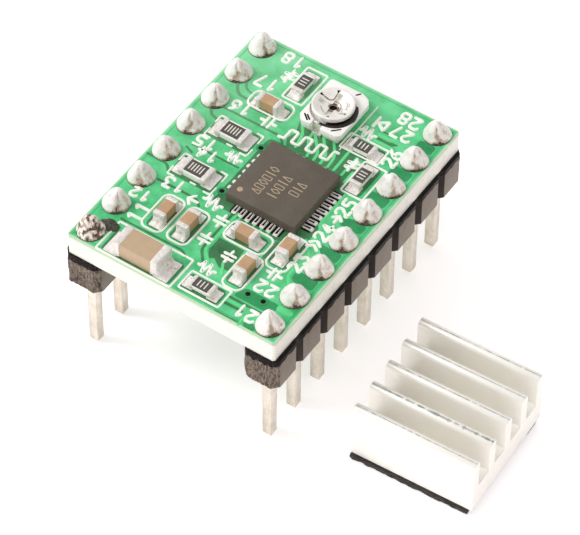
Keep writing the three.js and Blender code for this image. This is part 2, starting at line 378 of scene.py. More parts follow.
def mask_look(name, light, dark):
    """Green lacquer: uneven in depth, with the glass weave and dust under its gloss, and a painted sheen
    that pales it towards the back left.
    """
    look = Look(name, light, 0.3, Specular_IOR_Level=0.2)
    look.layer(look.noise(1.6), 0.35, 0.7, 1.0, dark)
    fine = look.noise(0.09, 2.0)
    look.layer(fine, 0.55, 0.8, 0.12, (190, 240, 205))
    # Painted sheen: the lacquer gets paler the further a point lies towards the back left.
    sides = look.maths("SUBTRACT", look.place("Object", "Y"), look.place("Object", "X"))
    look.layer(sides, 3 * MM, 16 * MM, 0.4, (176, 240, 196))
    look.gloss(look.noise(0.5), 0.22, 0.42)
    look.relief(look.maths("MULTIPLY", look.stripes(0.28, "X", 0.6), look.stripes(0.28, "Y", 0.6)), 0.003)
    look.relief(fine, 0.004)
    return look


def board_look():
    """Lacquer on the two faces, layered glass cloth and resin on the sawn edges. A painted highlight pales
    the lacquer along every edge, and painted shade darkens the underside.
    """
    look = mask_look("board_lacquer_and_laminate", (106, 216, 150), (56, 176, 106))
    rim = look.maths("MAXIMUM", look.from_middle("X", BOARD_HALF_X), look.from_middle("Y", BOARD_HALF_Y))
    line_in, line_out = (look.range(rim, edge * MM, -0.3 * MM) for edge in (-0.36, -0.24))
    line = look.maths("MULTIPLY", look.maths("MULTIPLY", line_in, line_out), 0.55)
    look.paint(look.mix(line, look.base, (52, 140, 88)))
    # Painted highlight: the lacquer pales within the last 0.16 mm of every edge.
    look.layer(rim, -0.16 * MM, -0.02 * MM, 0.75, (222, 236, 212))
    # Painted shade: faces that look down get a darker green than the lacquer has, which also keeps their
    # green bounce light off the floor.
    look.layer(look.place("Normal"), -0.5, -0.7, 1.0, (70, 128, 92))
    face = look.base
    fibres = look.noise(0.12, 4.0, 0.7, (1, 1, 3))
    look.base = (253, 252, 246)
    look.layer(look.stripes(0.2, "Z", 1.2), 0.2, 0.9, 1.0, (238, 233, 220))
    look.layer(fibres, 0.55, 0.75, 0.4, (206, 194, 170))
    level = look.maths("ADD", look.place(), look.range(fibres, 0.3, 0.7, -0.08 * MM, 0.08 * MM))
    look.layer(level, 1.3 * MM, 1.48 * MM, 0.85, (176, 208, 166))
    facing = look.range(look.maths("ABSOLUTE", look.place("Normal")), 0.45, 0.6)
    look.paint(look.mix(facing, look.base, face))
    return look.mat


def plain(name, first, second, rough, size=0.4, metal=0.0, bumps=0.01, bump_size=0.1, **fixed):
    """A surface with a slow change of colour, a little change of gloss and fine bumps."""
    look = Look(name, first, rough, metal, **fixed)
    look.layer(look.noise(size), 0.35, 0.65, 1.0, second)
    look.gloss(look.noise(size * 0.6), rough * 0.75, min(1.0, rough * 1.25))
    look.relief(look.noise(bump_size), bumps)
    return look


def solder_look(name, colour, stain, share=0.35):
    """Reflowed solder: bright, a little lumpy, with a faint brown stain in its fine creases."""
    look = plain(name, colour, tuple(c - 10 for c in colour), 0.36, 0.5, 0.12, 0.04, 0.3)
    crumple = look.noise(0.16, 5.0, 0.75, (1, 1, 0.45), 1.2)
    look.layer(crumple, 0.56, 0.68, share, stain)
    look.relief(crumple, 0.04)
    return look.mat


def end_look(name, size):
    """Silver glass paste, plated and tinned: pale, grainy, with brown dirt between its grains."""
    look = plain(name, (255, 251, 248), (242, 234, 228), 0.42, 0.22, 0.3, 0.03, 0.12)
    grains = look.noise(size, 5.0, 0.8, (1, 1, 1), 0.8)
    look.layer(grains, 0.5, 0.6, 0.3, (196, 180, 166))
    look.layer(grains, 0.62, 0.68, 0.7, (120, 102, 90))
    look.relief(grains, 0.07)
    return look.mat


def tin_look():
    """Drawn and tin plated metal with fine lengthwise streaks."""
    look = Look("pin_tin_plate", (234, 226, 214), 0.32, 0.85)
    streaks = look.noise(0.08, stretch=(1, 1, 0.12))
    look.layer(look.noise(0.9, 2.0), 0.35, 0.7, 1.0, (216, 205, 188))
    look.layer(streaks, 0.55, 0.8, 0.3, (190, 176, 156))
    look.gloss(streaks, 0.22, 0.42)
    look.relief(streaks, 0.01)
    return look.mat


def painted_shade_under_board(look, size, low, high, colour):
    """A ragged band of painted shade along a header's upper edge, where it lies under the board."""
    ragged = look.range(look.noise(size), 0.3, 0.7, low * MM, high * MM)
    look.paint(look.mix(look.maths("GREATER_THAN", look.place(), ragged), look.base, colour))


def plastic_look(name, first, second, speck, rough):
    """Black moulded nylon with glass fibre: fine grain, faint flow streaks and a band of painted shade along
    the top; given pale colours it is a painted sheen.
    """
    look = Look(name, first, rough, 0.0, Specular_IOR_Level=0.16)
    grain = look.noise(0.05, 4.0, 0.7)
    flow = look.noise(0.3, 3.0, 0.6, (1, 1, 0.35), 0.6)
    look.layer(flow, 0.35, 0.7, 1.0, second)
    look.layer(grain, 0.55, 0.78, 0.5, speck)
    # Painted shade along the top, where the strip lies under the board.
    painted_shade_under_board(look, 0.5, -0.52, -0.26, (20, 16, 14))
    look.gloss(flow, rough * 0.8, min(1.0, rough * 1.2))
    look.relief(flow, 0.02)
    look.relief(grain, 0.008)
    return look.mat


def torn_look():
    """Torn nylon: dark, with pale stretched ribs running up it, and a band of painted shade along its upper
    rim, flecked with pale crumbs.
    """
    look = Look("header_break", (78, 67, 59), 0.7, 0.0, Specular_IOR_Level=0.16)
    ribs = look.noise(0.14, 4.0, 0.75, (1, 1, 0.28), 0.5)
    crumbs = look.noise(0.1, 3.0, 0.7)
    look.layer(ribs, 0.4, 0.62, 1.0, (150, 136, 122))
    look.layer(crumbs, 0.58, 0.68, 0.6, (190, 176, 162))
    look.layer(crumbs, 0.42, 0.34, 0.7, (34, 27, 23))
    # Painted shade along the upper rim, broken by pale crumbs.
    black = look.mix(look.range(crumbs, 0.62, 0.68), (20, 16, 14), (150, 138, 126))
    painted_shade_under_board(look, 0.45, -0.72, -0.4, black)
    look.relief(ribs, 0.06)
    look.relief(crumbs, 0.03)
    return look.mat


def mould_look():
    """Epoxy moulding compound: warm grey, sanded-looking grain with pale filler specks."""
    look = Look("chip_epoxy", (99, 90, 79), 0.6, 0.0, Specular_IOR_Level=0.4)
    grain = look.noise(0.045, 4.0, 0.75)
    look.layer(look.noise(1.4, 2.0), 0.3, 0.7, 1.0, (109, 100, 89))
    look.layer(grain, 0.4, 0.66, 0.7, (74, 65, 57))
    look.layer(look.specks(0.14), 0.14, 0.0, 0.6, (140, 130, 117))
    look.gloss(grain, 0.5, 0.72)
    look.relief(grain, 0.012)
    return look.mat


def ceramic_look(name, first, second, speck):
    """Fired ceramic: nearly even, with fine dark and pale specks."""
    look = Look(name, first, 0.45, 0.0, Specular_IOR_Level=0.5)
    look.layer(look.noise(0.5), 0.35, 0.65, 1.0, second)
    look.layer(look.noise(0.06), 0.6, 0.8, 0.5, speck)
    look.gloss(look.noise(0.2), 0.35, 0.55)
    look.relief(look.noise(0.08), 0.006)
    return look.mat


def aluminium_look():
    """Clear anodised extrusion: long fine die lines along local X, a soft even sheen."""
    look = Look("heatsink_aluminium", (255, 253, 247), 0.42, 0.45)
    lines = look.noise(0.07, stretch=(0.03, 1, 1))
    look.layer(look.noise(1.2), 0.3, 0.7, 1.0, (251, 248, 241))
    look.layer(lines, 0.5, 0.8, 0.25, (230, 225, 212))
    look.gloss(lines, 0.34, 0.5)
    look.relief(lines, 0.012)
    look.relief(look.noise(0.05), 0.004)
    return look.mat


def foam_look():
    look = Look("pad_black", (22, 18, 16), 0.85, 0.0, Sheen_Weight=0.1)
    grain = look.noise(0.12, 4.0, 0.75)
    look.layer(grain, 0.4, 0.75, 1.0, (66, 58, 52))
    look.relief(grain, 0.05)
    look.relief(look.noise(0.03), 0.01)
    return look.mat


MASK = board_look()
TRACK = mask_look("lacquer_over_track", (110, 226, 150), (88, 208, 130)).mat
GAP = mask_look("lacquer_over_laminate", (76, 140, 92), (50, 104, 64)).mat
SHADE = mask_look("lacquer_over_inner_copper", (56, 158, 98), (36, 136, 80)).mat
INK = plain("printing_ink", (254, 255, 250), (240, 246, 232), 0.55, 0.3, 0.0, 0.004, 0.08).mat
# On the pin joints the pale, tan and crease looks stand for painted shade as well as stain.
SOLDER = solder_look("solder_bright", (255, 251, 246), (196, 176, 160))
SOLDER_PALE = solder_look("solder_pale_stain_and_shade", (236, 222, 208), (190, 168, 150))
SOLDER_TAN = solder_look("solder_tan_stain_and_shade", (196, 174, 158), (140, 118, 104), 0.6)
FILLET = solder_look("solder_fillet", (252, 247, 242), (128, 110, 98), 0.85)
LAND_TIN = plain("chip_land_tin", (255, 254, 250), (238, 232, 226), 0.38, 0.2, 0.3, 0.02).mat
CREASE_AND_SHADE = plain("solder_crease_and_shade", (118, 100, 88), (66, 52, 44), 0.5, 0.12, 0.3, 0.02).mat
TIN = tin_look()
END_METAL = end_look("end_cap_metal", 0.14)
CRUMPLED = end_look("end_cap_crumpled", 0.2)
# The pale side look is a painted sheen on nylon that is black, as the groove look is.
PAINTED_SHEEN_PLASTIC = plastic_look("header_side_painted_sheen", (126, 115, 104), (144, 132, 120), (164, 152, 140), 0.45)
GROOVE = plastic_look("header_groove", (40, 33, 29), (54, 46, 41), (80, 71, 64), 0.55)
BROKEN = torn_look()
MOULD = mould_look()
MARK = plain("laser_mark", (190, 168, 138), (172, 152, 124), 0.7, 0.1, 0.0, 0.004, 0.05).mat
TAN = ceramic_look("ceramic_tan", (198, 160, 122), (186, 148, 112), (150, 116, 86))
TAN_GREY = ceramic_look("ceramic_tan_grey", (196, 168, 134), (188, 164, 136), (160, 136, 108))
WHITE = ceramic_look("ceramic_white", (254, 252, 248), (248, 244, 238), (220, 212, 202))
GLAZE = plain("resistor_glaze", (84, 78, 71), (74, 68, 62), 0.35, 0.3, 0.0, 0.005, 0.06).mat
GLAZE_MARK = plain("resistor_mark", (240, 238, 230), (220, 216, 206), 0.5, 0.2, 0.0, 0.003, 0.06).mat
STEEL = plain("plated_steel", (244, 241, 234), (214, 206, 196), 0.36, 0.3, 0.55, 0.03, 0.15).mat
ROTOR = plain("rotor_nickel", (252, 250, 246), (240, 235, 228), 0.42, 0.7, 0.4, 0.012, 0.25).mat
CARBON = plain("carbon_track", (26, 21, 18), (44, 37, 32), 0.5, 0.3, 0.0, 0.01, 0.06).mat
TARNISH_AND_SHADE = plain("tarnish_and_shade", (150, 130, 108), (104, 86, 70), 0.5, 0.15, 0.2, 0.01, 0.08).mat
DARK = plain("dark_recess", (14, 11, 10), (28, 22, 19), 0.6, 0.2, bump_size=0.08, Specular_IOR_Level=0.1).mat
# Real flux on the smear; round the pin lands it is also painted contact shadow.
FLUX_AND_SHADE = plain("flux_residue_and_shade", (78, 74, 60), (30, 25, 20), 0.3, 0.14, 0.0, 0.06, 0.12).mat
COPPER = plain("copper_paddle", (190, 128, 92), (168, 108, 76), 0.35, 0.4, 1.0).mat
SILICON = plain("silicon_die", (70, 74, 84), (60, 62, 72), 0.2, 0.5).mat
ALUMINIUM = aluminium_look()
BURR = plain("sawn_burr", (206, 206, 198), (150, 152, 146), 0.5, 0.4, 0.3, 0.02, 0.08).mat
FOAM = foam_look()


# ------------------------------------------------------------------ board, copper and printing

SMALL_PARTS = {
    "capacitor_1": (-3.4, -5.42, 90),
    "capacitor_2": (-1.75, -5.42, 90),
    "capacitor_3": (1.5, -4.3, 0),
    "capacitor_4": (-3.15, 5.0, 0),
    "capacitor_5": (2.9, -6.3, 90),
    "capacitor_6": (4.12, -3.75, 90),
    "capacitor_input_bulk": (-2.64, -8.85, 0),
    "resistor_sense_1": (-3.75, -1.78, 0),
    "resistor_sense_2": (-3.7, 1.94, 0),
    "resistor_1": (1.65, -8.85, 0),
    "resistor_2": (4.6, 3.33, 90),
    "resistor_3": (3.4, 5.33, 0),
    "resistor_4": (-2.45, 7.6, 90),
}


def size_of(name):
    """Length, width, height and end cap of a small part."""
    if name == "capacitor_input_bulk":
        return 3.2, 1.6, 1.15, 0.5
    if "sense" in name:
        return 2.0, 1.25, 0.5, 0.4
    return (1.6, 0.8, 0.8, 0.34) if name.startswith("cap") else (1.6, 0.8, 0.45, 0.3)


def dark_fields():
    """Where the copper is etched away: round the parts' lands and between the tracks."""
    chip = 3.1
    fields = [
        rectangle(CHIP["x"] - chip, CHIP["x"] + chip, CHIP["y"] - chip, CHIP["y"] + chip, 0.35),
        [(-1.12, 5.3), (-0.72, 4.2), (-0.95, 3.62), (-0.62, 3.05), (3.3, 3.05), (3.3, 4.75), (1.95, 4.75),
         (1.95, 5.3)],
        [(0.22, -5.1), (1.98, -5.1), (2.05, -6.9), (1.4, -6.95), (0.85, -6.55), (0.55, -6.75), (0.22, -6.2)],
        [(-0.75, -2.66), (3.4, -2.66), (3.4, -3.32), (3.0, -3.4), (0.3, -3.32), (-0.3, -3.2)],
        [(3.85, -2.3), (3.85, 2.1), (4.3, 2.1), (4.3, -0.9), (4.62, -1.3), (4.62, -2.3)],
        [(3.3, 3.0), (3.3, 4.0), (4.0, 4.0), (4.0, 2.2), (3.75, 2.6)],
        [(3.1, -3.4), (3.35, -3.4), (3.35, -4.95), (3.1, -4.95)],
        [(3.5, 6.55), (4.62, 6.55), (4.95, 6.85), (4.6, 6.85), (4.25, 6.75), (3.5, 6.75)],
    ]
    for name, (x, y, turn) in SMALL_PARTS.items():
        length, width, _, _ = size_of(name)
        u, v = length / 2 + 0.5, width / 2 + 0.24
        if name == "capacitor_input_bulk":
            u, v = length / 2 + 0.85, width / 2 + 0.1
        u, v = (v, u) if turn else (u, v)
        fields.append(rectangle(x - u, x + u, y - v, y + v, 0.3))
    return fields


# Paths and widths of the gaps between areas of copper.
GAP_LINES = [
    ([(-5.95, 5.75), (-5.75, 5.3), (-5.35, 4.88), (-4.6, 4.85)], 0.2),
    ([(-5.55, 6.05), (-5.3, 5.6), (-4.95, 5.42), (-4.6, 5.4)], 0.16),
    ([(-5.5, 3.5), (-1.3, 3.5), (-0.95, 3.1)], 0.17),
    ([(-6.0, 2.9), (-5.75, 2.6), (-5.15, 2.45)], 0.2),
    ([(-7.1, -2.1), (-5.65, -2.12), (-5.25, -2.62), (-4.9, -2.75)], 0.18),
    ([(-5.5, -0.35), (-5.0, -0.55)], 0.16),
    ([(-5.4, -3.42), (-2.6, -3.42), (-2.2, -3.8)], 0.17),
    ([(-5.6, 0.95), (-5.2, 1.15)], 0.2),
    ([(-0.2, -2.9), (-0.2, -6.35), (0.4, -7.1), (0.9, -7.6)], 0.17),
    ([(3.25, -8.42), (5.6, -8.42)], 0.17),
    ([(3.25, -8.93), (4.4, -8.93)], 0.2),
    ([(3.1, -9.72), (4.75, -9.72)], 0.09),
    ([(-5.3, 0.0), (-2.0, 0.0)], 0.14),
    ([(-5.4, -7.15), (-1.0, -7.12), (-0.6, -7.4)], 0.14),
    ([(4.85, 7.28), (3.6, 7.28)], 0.12),
]

# Where the lacquer lies over the darker inner copper.
SHADED = [
    [(5.35, -0.3), (6.9, -0.3), (6.9, 0.45), (5.35, 0.45)],
    [(5.25, -2.15), (6.9, -2.15), (6.9, -2.95), (5.8, -2.95), (5.4, -2.6)],
    [(5.35, -4.6), (6.9, -4.6), (6.9, -5.45), (5.6, -5.45), (5.35, -5.2)],
    [(5.55, 2.15), (6.9, 2.15), (6.9, 3.0), (5.55, 3.0)],
    [(5.55, 4.65), (6.9, 4.65), (6.9, 5.45), (5.55, 5.45)],
    [(5.75, 7.2), (6.9, 7.2), (6.9, 8.0), (5.75, 8.0)],
    [(3.65, -7.35), (6.0, -7.35), (6.0, -8.2), (3.3, -8.2)],
    [(5.0, -9.3), (5.6, -9.3), (5.9, -9.8), (5.0, -9.8)],
]

# Paths and widths of the tracks that stand proud.
TRACKS = [
    ([(0.86, 3.05), (0.82, 3.35), (0.2, 4.2), (0.12, 4.8)], 0.2),
    ([(1.36, 3.05), (1.3, 3.6), (0.85, 4.15), (0.25, 4.85)], 0.22),
    ([(1.86, 3.05), (1.78, 3.75), (1.45, 4.15), (0.8, 4.95)], 0.22),
    ([(2.36, 3.05), (2.3, 3.85), (2.05, 4.3), (1.5, 5.0)], 0.2),
    ([(2.8, 3.05), (2.76, 4.75)], 0.22),
    ([(3.4, 3.0), (3.4, 3.6)], 0.2),
    ([(3.85, 2.6), (3.85, 3.5)], 0.2),
    ([(-0.75, 5.0), (-0.3, 4.35), (-0.1, 3.3)], 0.22),
    ([(0.05, -3.0), (0.05, -6.3), (0.75, -7.0), (1.25, -7.7)], 0.2),
    ([(1.5, -6.6), (1.9, -7.3)], 0.2),
    ([(5.15, -4.75), (5.15, -5.25), (5.75, -5.95)], 0.22),
    ([(4.75, -1.9), (5.0, -2.35), (5.35, -2.5), (5.9, -3.05)], 0.22),
    ([(5.0, -2.95), (5.3, -3.3)], 0.2),
    ([(4.45, 1.95), (4.45, -0.85), (4.75, -1.3), (4.75, -1.9)], 0.2),
    ([(4.6, 0.5), (5.8, 0.5), (6.0, 0.75)], 0.2),
    ([(3.5, 6.95), (4.3, 6.95), (4.7, 7.2)], 0.22),
    ([(3.5, 6.4), (4.75, 6.4)], 0.2),
    ([(3.2, -8.67), (4.5, -8.67)], 0.2),
    ([(6.15, -7.55), (6.85, -7.55)], 0.42),
    ([(4.8, -9.2), (4.8, -9.85)], 0.16),
] + [([(-0.14 + 0.5 * i, -2.8), (-0.14 + 0.5 * i, -3.35)], 0.18) for i in range(1, 6)]


def copper_pieces():
    """The etched gaps, the copper of the inner layer showing through, and the raised tracks."""
    gaps, shaded, tracks = Build(), Build(), Build()
    for i, field in enumerate(dark_fields()):
        gaps.prism(field, TOP, TOP + 0.006 + 0.0005 * i)
    for i, (path, width) in enumerate(GAP_LINES):
        gaps.ribbon(eased(path, 0.3), width, TOP, TOP + 0.016 + 0.0004 * i)
    for i, field in enumerate(SHADED):
        shaded.prism(eased(field, 0.25, True), TOP, TOP + 0.004 + 0.0002 * i)
    for i, (path, width) in enumerate(TRACKS):
        tracks.ribbon(eased(path, 0.25), width, TOP, TOP + 0.03 + 0.0004 * i)
    piece("etched_gaps", gaps, [GAP])
    piece("inner_copper_areas", shaded, [SHADE])
    piece("raised_tracks", tracks, [TRACK])


def via_pieces():
    """The vias in plain view: a raised collar, and a dark plug whose top stands for the shade in the hole.
    """
    vias = Build()
    collar = [(0.3, TOP - 0.02), (0.29, TOP + 0.03), (0.18, TOP + 0.034), (0.155, TOP + 0.01), (0.155, 0.4)]
    for x, y in ((-1.76, 2.05), (-1.74, -2.06), (1.6, -5.93), (4.0, -7.67), (5.05, -7.64)):
        vias.turned(collar, 24, 0, x, y, closed=True)
        # Painted shade: a dark disc just above the board fills each hole.
        vias.turned([(0.15, 0.6), (0.15, TOP + 0.02)], 24, 1, x, y)
    piece("via_barrels", vias, [SHADE, DARK])


# Strokes on a grid one unit high: 1 before a path that closes on itself, 0 before an open one.
DIGITS = {
    "1": [(0, [(0.1, 0.78), (0.34, 1), (0.34, 0)])],
    "2": [(0, [(0, 0.85), (0.12, 1), (0.48, 1), (0.6, 0.85), (0.6, 0.62), (0, 0), (0.62, 0)])],
    "3": [(0, [(0, 1), (0.58, 1), (0.28, 0.58), (0.6, 0.45), (0.6, 0.14), (0.48, 0), (0.1, 0), (0, 0.12)])],
    "4": [(0, [(0.64, 0.32), (0, 0.32), (0.42, 1), (0.42, 0)])],
    "5": [(0, [(0.58, 1), (0.06, 1), (0.02, 0.56), (0.46, 0.58), (0.6, 0.44), (0.6, 0.14), (0.46, 0),
               (0, 0.04)])],
    "6": [(0, [(0.5, 1), (0.1, 0.62), (0, 0.4), (0, 0.14), (0.12, 0), (0.48, 0), (0.6, 0.14), (0.6, 0.4),
               (0.48, 0.54), (0.14, 0.52)])],
    "7": [(0, [(0, 1), (0.6, 1), (0.22, 0)])],
    "8": [(1, [(0.12, 0), (0.48, 0), (0.6, 0.14), (0.6, 0.4), (0.48, 0.53), (0.12, 0.53), (0, 0.4),
               (0, 0.14)]),
          (1, [(0.14, 0.53), (0.46, 0.53), (0.56, 0.66), (0.56, 0.88), (0.46, 1), (0.14, 1), (0.04, 0.88),
               (0.04, 0.66)])],
}
SYMBOLS = {
    "plates": [(0, [(0, 0.5), (0.42, 0.5)]), (0, [(0.42, 0), (0.42, 1)]), (0, [(0.86, 0), (0.86, 1)]),
               (0, [(0.86, 0.5), (1.28, 0.5)])],
    "zigzag": [(0, [(0, 0.5), (0.16, 0.5), (0.32, 1), (0.58, 0), (0.84, 1), (1.08, 0), (1.2, 0.5),
                    (1.36, 0.5)])],
    "diode": [(1, [(0, 0), (0, 1), (0.72, 0.5)]), (0, [(0.9, 0), (0.9, 1)])],
    "chevrons": [(0, [(0, 0), (0.4, 0.5), (0, 1)]), (0, [(0.5, 0), (0.9, 0.5), (0.5, 1)])],
    "pulses": [(0, [(0, 0), (0.3, 0), (0.3, 1), (0.9, 1), (0.9, 0), (1.5, 0), (1.5, 1), (2.1, 1), (2.1, 0),
                    (2.7, 0), (2.7, 1), (3.3, 1), (3.3, 0), (3.9, 0), (3.9, 1), (4.3, 1)])],
    "arrow": [(0, [(0, 0.5), (0.9, 0.5)]), (0, [(0.5, 0), (0.95, 0.5), (0.5, 1)])],
}

# What is printed, its middle, its height and its turn in degrees.
PIN_NUMBERS = [
    ("11", -4.87, -6.25, 0.85, 90), ("12", -5.62, -4.98, 0.72, 180), ("13", -4.4, -3.25, 0.8, 180),
    ("14", -4.15, -0.22, 0.78, 180), ("15", -4.75, 0.5, 0.8, 180), ("16", -4.65, 4.02, 0.78, 180),
    ("17", -4.5, 6.6, 0.85, 180), ("18", -4.2, 9.08, 0.82, 180),
    ("21", 4.85, -8.95, 0.82, 180), ("22", 4.65, -6.75, 0.8, 180), ("23", 5.12, -4.1, 0.8, 90),
    ("24", 5.08, -1.3, 0.8, 90), ("25", 5.08, 0.95, 0.8, 90), ("26", 5.2, 5.75, 0.8, 90),
    ("27", 4.6, 7.72, 0.82, 180), ("28", 4.45, 8.9, 0.85, 180),
]
PART_SYMBOLS = [
    ("zigzag", -3.62, 7.85, 0.8, 90), ("plates", -2.55, 4.02, 0.8, 180), ("zigzag", -2.65, 0.5, 0.8, 180),
    ("zigzag", -1.65, -3.1, 0.95, 180), ("arrow", -2.75, -3.62, 0.7, 180), ("plates", -0.42, -4.0, 0.75, 90),
    ("plates", -0.42, -5.65, 0.75, 90), ("plates", 1.5, -6.0, 0.7, 90), ("zigzag", 0.95, -7.42, 0.85, 180),
    ("zigzag", 2.85, 6.68, 0.85, 180), ("zigzag", 3.5, 4.0, 0.75, 90), ("plates", 4.45, -5.6, 0.75, 180),
    ("pulses", 0.45, 3.88, 0.86, 180), ("diode", 3.15, 7.72, 0.8, 180), ("arrow", 5.1, -0.05, 0.6, 90),
    ("chevrons", 5.1, -2.4, 0.7, 90),
]


def write(build, strokes, x, y, height, turn, level):
    """Draws strokes, given on a unit high grid, centred on a place and turned."""
    xs = [p[0] for _, path in strokes for p in path]
    middle = (min(xs) + max(xs)) / 2
    c, s = math.cos(math.radians(turn)), math.sin(math.radians(turn))
    for k, (closed, path) in enumerate(strokes):
        line = []
        for px, py in path:
            u, v = (px - middle) * height, (py - 0.5) * height
            line.append((x + u * c - v * s, y + u * s + v * c))
        build.ribbon(eased(line, 0.13, closed), SILK_WIDTH, TOP, level + 0.0006 * k, closed=closed)


def number_strokes(text, advance=0.95):
    """The strokes of a number's digits, side by side."""
    strokes = []
    for i, digit in enumerate(text):
        for closed, path in DIGITS[digit]:
            strokes.append((closed, [(x + i * advance, y) for x, y in path]))
    return strokes


# Printed frames round the parts: left, right, front and back.
SQUARE_FRAMES = [
    (-5.33, -0.04, -9.8, -7.38), (0.34, 3.15, -9.48, -8.05), (-3.1, -1.66, 6.26, 9.14),
    (2.02, 4.72, 4.84, 6.14), (3.98, 5.52, 1.98, 4.7),
]
ROUND_FRAMES = [
    (-4.33, -2.86, -6.88, -3.98), (-2.53, -1.08, -6.85, -3.98), (0.18, 3.05, -4.93, -3.4),
    (-4.62, -1.76, 4.52, 5.9), (2.16, 3.5, -7.9, -5.1), (3.42, 4.86, -5.3, -2.5),
]


def printing_pieces():
    """White ink: frames, brackets round the sense resistors, pin numbers and symbols. Each line lies a
    hair higher than the one before, so that no two tops share a plane."""
    frames, numbers, symbols = Build(), Build(), Build()
    level = TOP + 0.046
    for places, radius, steps, lift in ((SQUARE_FRAMES, 0.1, 3, 0.0), (ROUND_FRAMES, 0.45, 5, 0.006)):
        for i, place in enumerate(places):
            high = level + lift + 0.0007 * i
            frames.ribbon(rectangle(*place, radius, steps), 0.16, TOP, high, closed=True)
    for name in ("resistor_sense_1", "resistor_sense_2"):
        x, y, _ = SMALL_PARTS[name]
        for sx in (-1, 1):
            for sy in (-1, 1):
                u, v = x + sx * 1.55 + 0.05, y + sy * 0.93
                corner = [(u - sx * 0.45, v), (u, v), (u, v - sy * 0.6)]
                frames.ribbon(eased(corner, 0.1), 0.15, TOP, level + 0.012)
        frames.ribbon([(x + 0.1, y - 0.78), (x + 0.42, y - 0.78)], 0.15, TOP, level + 0.012)
    side = TRIM["x"] + 1.62
    frames.ribbon([(side, 4.6), (side, 8.75)], 0.1, TOP, level)
    for text, x, y, height, turn in PIN_NUMBERS:
        write(numbers, number_strokes(text), x, y, height, turn, level + 0.016)
    for kind, x, y, height, turn in PART_SYMBOLS:
        write(symbols, SYMBOLS[kind], x, y, height, turn, level + 0.02)
    piece("printed_frames", frames, [INK])
    piece("printed_pin_numbers", numbers, [INK])
    piece("printed_part_symbols", symbols, [INK])


# ------------------------------------------------------------------ pins, headers and solder


# Radius and height of a joint, from its plug in the hole up to its tip.
SOLDER_PROFILE = [
    (0.46, 0.1 - TOP), (0.46, 0.0), (0.87, 0.0), (0.865, 0.05), (0.83, 0.13), (0.79, 0.2), (0.74, 0.29),
    (0.7, 0.38), (0.65, 0.47), (0.61, 0.56), (0.565, 0.65), (0.52, 0.73), (0.475, 0.81), (0.43, 0.89),
    (0.38, 0.96), (0.32, 1.03), (0.25, 1.1), (0.15, 1.17), (0.06, 1.2),
]
JOINT_HIGH = 1.2
# How dark a face is painted, from stain and from painted shade, for the second, third and fourth look.
STAIN_AND_SHADE_LEVELS = (0.34, 0.58, 0.92)


def bell(distance, wide):
    """One at no distance, falling smoothly to nothing."""
    return math.exp(-(distance / wide) ** 2)


def turned_from(angle, fold):
    """The angle between two directions about the axis, from 0 to pi."""
    return abs((angle - fold + math.pi) % (2 * math.pi) - math.pi)


def solder_joint(node, x, y, seed, burnt):
    """A cone of solder that froze in folds: bright, with a darker tan streak down its front, brown round
    its foot on the front, part flux and part painted contact shadow, painted shade down its right side,
    a corner towards the board's right, and its plug in the hole."""
    rng = random.Random(seed)
    lean = Vector((rng.uniform(-0.09, 0.09), rng.uniform(-0.09, 0.09)))
    waves = [(k, rng.uniform(0.01, 0.03), rng.uniform(0, 6.28)) for k in (2, 3)]
    stain = math.radians(rng.uniform(-66, -40))
    corner = math.radians(rng.uniform(22, 44))
    folds = [(stain + rng.uniform(0.0, 0.2), rng.uniform(0.07, 0.12), rng.uniform(0.18, 0.3))]
    for a in (90, 190):
        folds.append((math.radians(rng.uniform(a, a + 50)), rng.uniform(0.04, 0.1), rng.uniform(0.16, 0.3)))
    sides = 64

    def wander(p):
        return 0.3 * noise.noise(Vector((seed, p.z * 2.5, 0)))

    def fold_depth(a, p):
        return max(depth * bell(turned_from(a + wander(p), fold), wide) for fold, depth, wide in folds)

    rings = []
    for r, h in SOLDER_PROFILE:
        ring = []
        rise = max(h, 0.0) / JOINT_HIGH
        for a in circle(sides):
            swell = 1.0
            if h > 0:
                swell += sum(size * math.sin(k * a + phase) for k, size, phase in waves) * (0.25 + rise)
                swell += 0.14 * bell(turned_from(a, corner), 0.32) * bell(rise - 0.3, 0.25)
            p = Vector((*polar(r * swell, a), max(h, 0.0)))
            lump = noise.noise(p * 2.2 + Vector((seed, 0, 0))) * 0.08 * min(1, 4 * rise) * (1 - 0.5 * rise)
            lump -= fold_depth(a, p) * math.sin(math.pi * min(1, rise)) ** 0.6
            p.xy += p.xy.normalized() * lump + lean * rise**1.5
            ring.append((p.x, p.y, h if h < 0 else h + lump * 0.3 * rise))
        rings.append(ring)
    build = Build(x, y, TOP)
    build.loft(rings)
    for face in build.bm.faces:
        middle = face.calc_center_median() - Vector((x, y, TOP))
        rise = middle.z / JOINT_HIGH
        a = math.atan2(middle.y - lean.y * rise, middle.x - lean.x * rise)
        fleck = noise.noise(middle * 4 + Vector((seed, 3, 0)))
        fine = noise.noise(Vector((a * 9, rise * 3, seed))) * 0.5
        down = max(0.0, 1 - rise * 1.15)
        streak = bell(turned_from(a + wander(middle), stain), 0.2 + 0.22 * down)
        # foot is a painted contact shadow round the front of the foot, and right is painted shade down the
        # side away from the key light; dirt adds both to the streak and the random flecks, so it is part
        # stain and part painted shade.
        foot = bell(rise, 0.1) * max(0.0, math.cos(a - stain))
        right = 0.36 * bell(turned_from(a, stain + 0.9), 0.5)
        dirt = (0.35 + 0.65 * down) * streak * 0.95 + 0.8 * foot + right + 0.35 * fleck + 0.35 * fine
        if burnt:
            dirt = 1.5 * fleck + 0.8 * fine + 0.55 + 0.6 * (foot + right)
        face.material_index = 0 if rise < 0.02 else sum(dirt > level for level in STAIN_AND_SHADE_LEVELS)
    piece(node + "_finished", build, [SOLDER, SOLDER_PALE, SOLDER_TAN, CREASE_AND_SHADE], BOARD, [node], 60)


